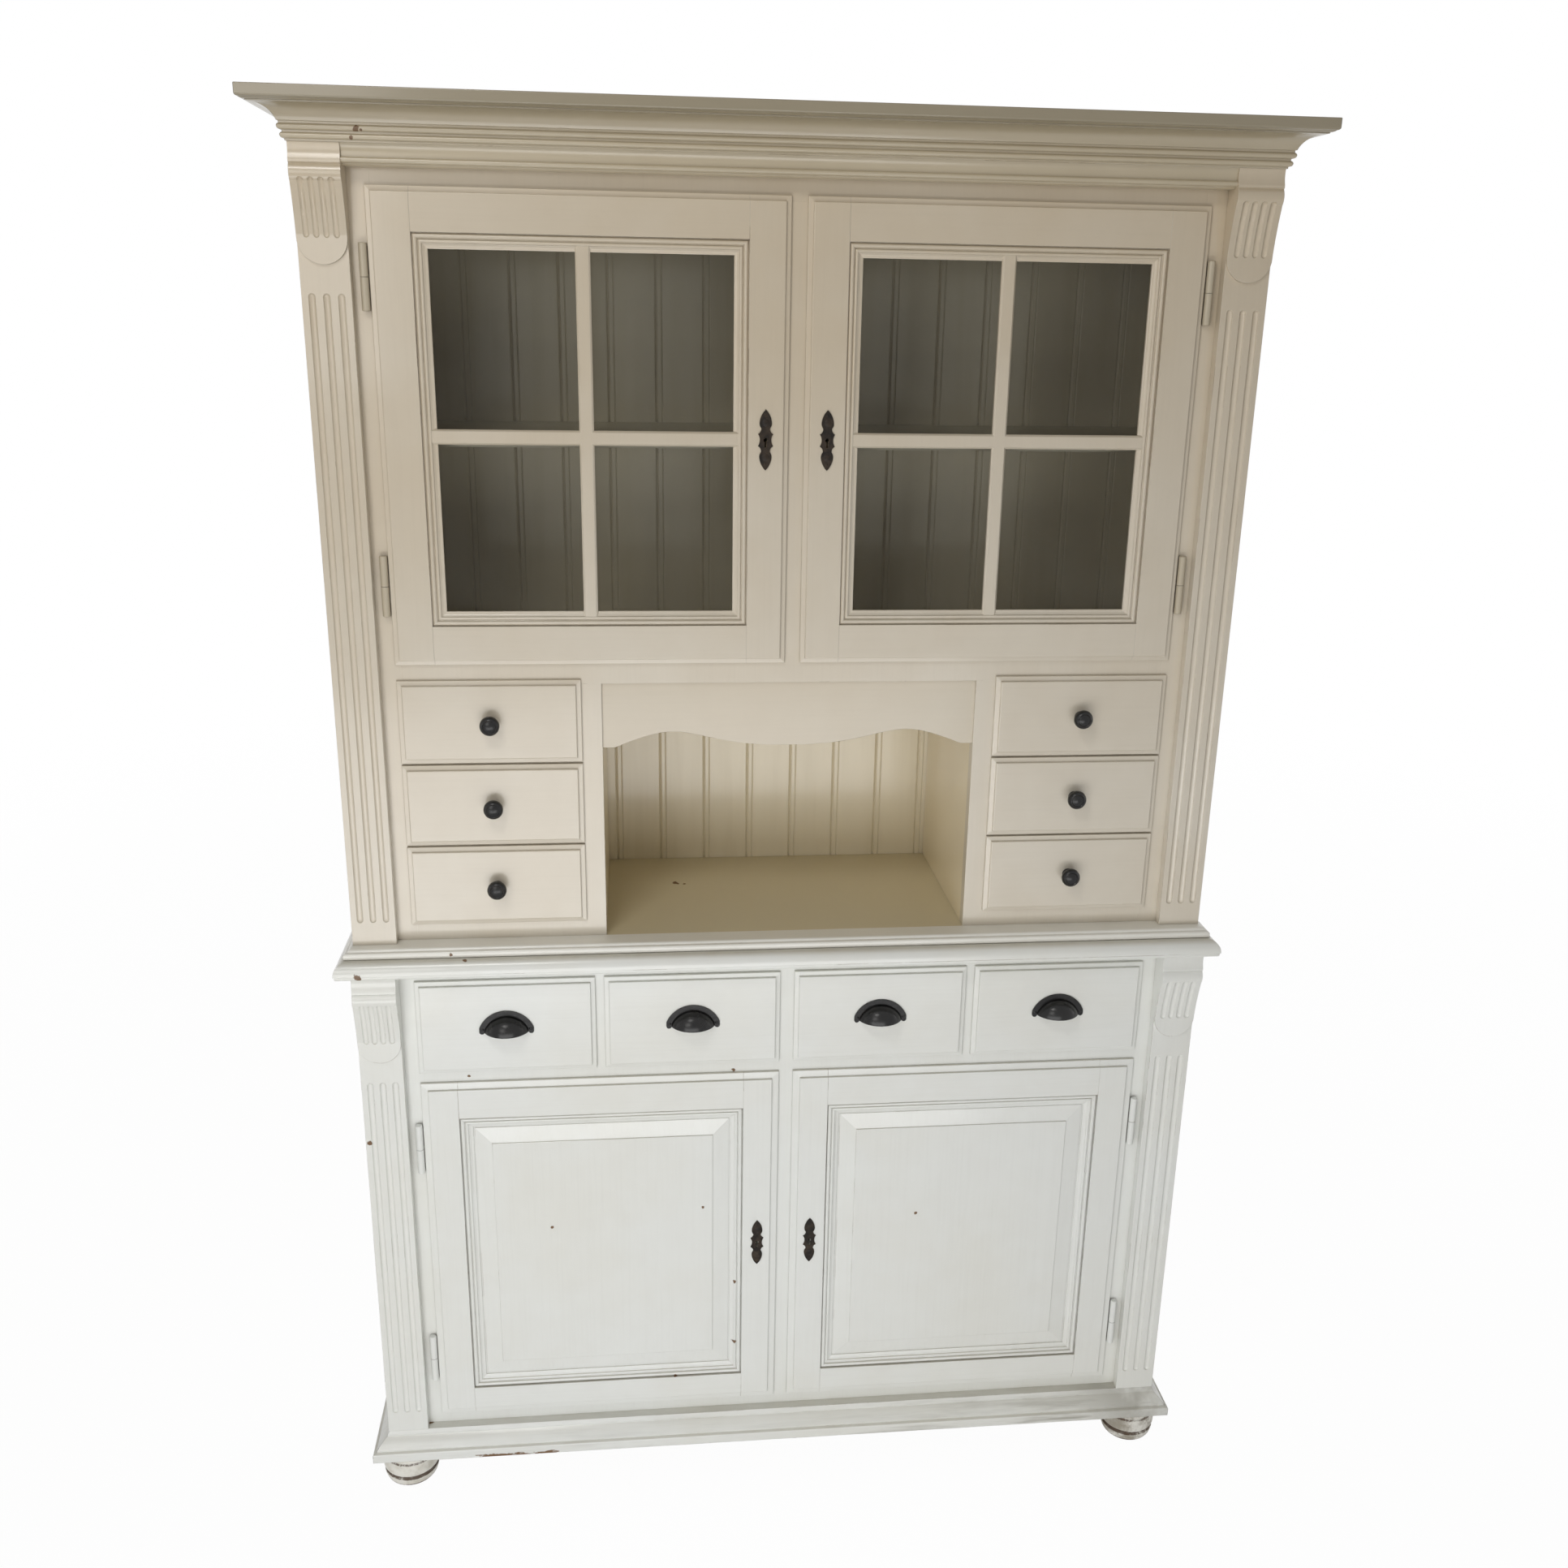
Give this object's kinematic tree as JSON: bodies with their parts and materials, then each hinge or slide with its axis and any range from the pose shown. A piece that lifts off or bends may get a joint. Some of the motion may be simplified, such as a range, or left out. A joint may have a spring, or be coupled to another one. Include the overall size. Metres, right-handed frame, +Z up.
{
  "type": "buffet and hutch",
  "caption": "Painted pine cupboard in two units: a buffet with doors and drawers below, a glazed hutch with small drawers and an open niche above.",
  "frame": {"origin": "on the floor, in the middle of the overall width and depth", "axes": "+X to the right of someone facing the doors, +Y towards the back, +Z up"},
  "size_m": [1.396, 0.418, 2.128],
  "materials": {
    "paint": "cream semi-gloss paint, worn at the edges",
    "inside": "older flat paint",
    "bare_pine": "bare pine",
    "glass": "clear float glass",
    "pull_iron": "black lacquered iron",
    "hinge_iron": "steel painted with the case",
    "lock_steel": "dull steel"
  },
  "bodies": {
    "cabinet": {"buffet_back_boards": "bare_pine", "buffet_carcass": "paint", "buffet_face_frame": "paint", "buffet_pilasters": "paint", "buffet_top": "paint", "bun_feet": "paint", "cornice": "paint", "drawer_runners": "bare_pine", "hinge_pins": "hinge_iron", "hutch_back_boards": "inside", "hutch_base": "paint", "hutch_carcass": "paint", "hutch_face_frame": "paint", "hutch_pilasters": "paint", "plinth_frame": "paint", "scalloped_valance": "paint", "shelves": "inside"},
    "buffet_left_inner_drawer": {"buffet_left_inner_cup_pull": "pull_iron", "buffet_left_inner_drawer": "paint"},
    "buffet_left_outer_drawer": {"buffet_left_outer_cup_pull": "pull_iron", "buffet_left_outer_drawer": "paint"},
    "buffet_right_inner_drawer": {"buffet_right_inner_cup_pull": "pull_iron", "buffet_right_inner_drawer": "paint"},
    "buffet_right_outer_drawer": {"buffet_right_outer_cup_pull": "pull_iron", "buffet_right_outer_drawer": "paint"},
    "hutch_left_bottom_drawer": {"hutch_left_bottom_drawer": "paint", "hutch_left_bottom_knob": "pull_iron"},
    "hutch_left_middle_drawer": {"hutch_left_middle_drawer": "paint", "hutch_left_middle_knob": "pull_iron"},
    "hutch_left_top_drawer": {"hutch_left_top_drawer": "paint", "hutch_left_top_knob": "pull_iron"},
    "hutch_right_bottom_drawer": {"hutch_right_bottom_drawer": "paint", "hutch_right_bottom_knob": "pull_iron"},
    "hutch_right_middle_drawer": {"hutch_right_middle_drawer": "paint", "hutch_right_middle_knob": "pull_iron"},
    "hutch_right_top_drawer": {"hutch_right_top_drawer": "paint", "hutch_right_top_knob": "pull_iron"},
    "lower_left_door_bolt": {"lower_left_door_bolt": "lock_steel"},
    "lower_left_door": {"lower_left_door_frame": "paint", "lower_left_door_hinges": "hinge_iron", "lower_left_door_lock": "pull_iron", "lower_left_door_panel": "paint"},
    "lower_right_door_bolt": {"lower_right_door_bolt": "lock_steel"},
    "lower_right_door": {"lower_right_door_frame": "paint", "lower_right_door_hinges": "hinge_iron", "lower_right_door_lock": "pull_iron", "lower_right_door_panel": "paint"},
    "upper_left_door_bolt": {"upper_left_door_bolt": "lock_steel"},
    "upper_left_door": {"upper_left_door_frame": "paint", "upper_left_door_glass": "glass", "upper_left_door_glazing_bars": "paint", "upper_left_door_hinges": "hinge_iron", "upper_left_door_lock": "pull_iron"},
    "upper_right_door_bolt": {"upper_right_door_bolt": "lock_steel"},
    "upper_right_door": {"upper_right_door_frame": "paint", "upper_right_door_glass": "glass", "upper_right_door_glazing_bars": "paint", "upper_right_door_hinges": "hinge_iron", "upper_right_door_lock": "pull_iron"}
  },
  "joints": [
    {"name": "upper_left_door_hinge", "type": "hinge", "parent": "cabinet", "child": "upper_left_door", "pos_m": [-0.5702, -0.1349, 1.707], "axis": [0, 0, -1], "range_deg": [0, 100]},
    {"name": "upper_left_door_bolt_slide", "type": "slide", "parent": "upper_left_door", "child": "upper_left_door_bolt", "axis": [1, 0, 0], "range_m": [0, 0.01]},
    {"name": "upper_right_door_hinge", "type": "hinge", "parent": "cabinet", "child": "upper_right_door", "pos_m": [0.5702, -0.1349, 1.707], "axis": [0, 0, 1], "range_deg": [0, 100]},
    {"name": "upper_right_door_bolt_slide", "type": "slide", "parent": "upper_right_door", "child": "upper_right_door_bolt", "axis": [-1, 0, 0], "range_m": [0, 0.01]},
    {"name": "lower_left_door_hinge", "type": "hinge", "parent": "cabinet", "child": "lower_left_door", "pos_m": [-0.5702, -0.1549, 0.432], "axis": [0, 0, -1], "range_deg": [0, 120]},
    {"name": "lower_left_door_bolt_slide", "type": "slide", "parent": "lower_left_door", "child": "lower_left_door_bolt", "axis": [1, 0, 0], "range_m": [0, 0.01]},
    {"name": "lower_right_door_hinge", "type": "hinge", "parent": "cabinet", "child": "lower_right_door", "pos_m": [0.5702, -0.1549, 0.432], "axis": [0, 0, 1], "range_deg": [0, 120]},
    {"name": "lower_right_door_bolt_slide", "type": "slide", "parent": "lower_right_door", "child": "lower_right_door_bolt", "axis": [-1, 0, 0], "range_m": [0, 0.01]},
    {"name": "buffet_left_inner_drawer_slide", "type": "slide", "parent": "cabinet", "child": "buffet_left_inner_drawer", "axis": [0, -1, 0], "range_m": [0, 0.22]},
    {"name": "buffet_left_outer_drawer_slide", "type": "slide", "parent": "cabinet", "child": "buffet_left_outer_drawer", "axis": [0, -1, 0], "range_m": [0, 0.22]},
    {"name": "buffet_right_inner_drawer_slide", "type": "slide", "parent": "cabinet", "child": "buffet_right_inner_drawer", "axis": [0, -1, 0], "range_m": [0, 0.22]},
    {"name": "buffet_right_outer_drawer_slide", "type": "slide", "parent": "cabinet", "child": "buffet_right_outer_drawer", "axis": [0, -1, 0], "range_m": [0, 0.22]},
    {"name": "hutch_left_bottom_drawer_slide", "type": "slide", "parent": "cabinet", "child": "hutch_left_bottom_drawer", "axis": [0, -1, 0], "range_m": [0, 0.2]},
    {"name": "hutch_left_middle_drawer_slide", "type": "slide", "parent": "cabinet", "child": "hutch_left_middle_drawer", "axis": [0, -1, 0], "range_m": [0, 0.2]},
    {"name": "hutch_left_top_drawer_slide", "type": "slide", "parent": "cabinet", "child": "hutch_left_top_drawer", "axis": [0, -1, 0], "range_m": [0, 0.2]},
    {"name": "hutch_right_bottom_drawer_slide", "type": "slide", "parent": "cabinet", "child": "hutch_right_bottom_drawer", "axis": [0, -1, 0], "range_m": [0, 0.2]},
    {"name": "hutch_right_middle_drawer_slide", "type": "slide", "parent": "cabinet", "child": "hutch_right_middle_drawer", "axis": [0, -1, 0], "range_m": [0, 0.2]},
    {"name": "hutch_right_top_drawer_slide", "type": "slide", "parent": "cabinet", "child": "hutch_right_top_drawer", "axis": [0, -1, 0], "range_m": [0, 0.2]}
  ]
}
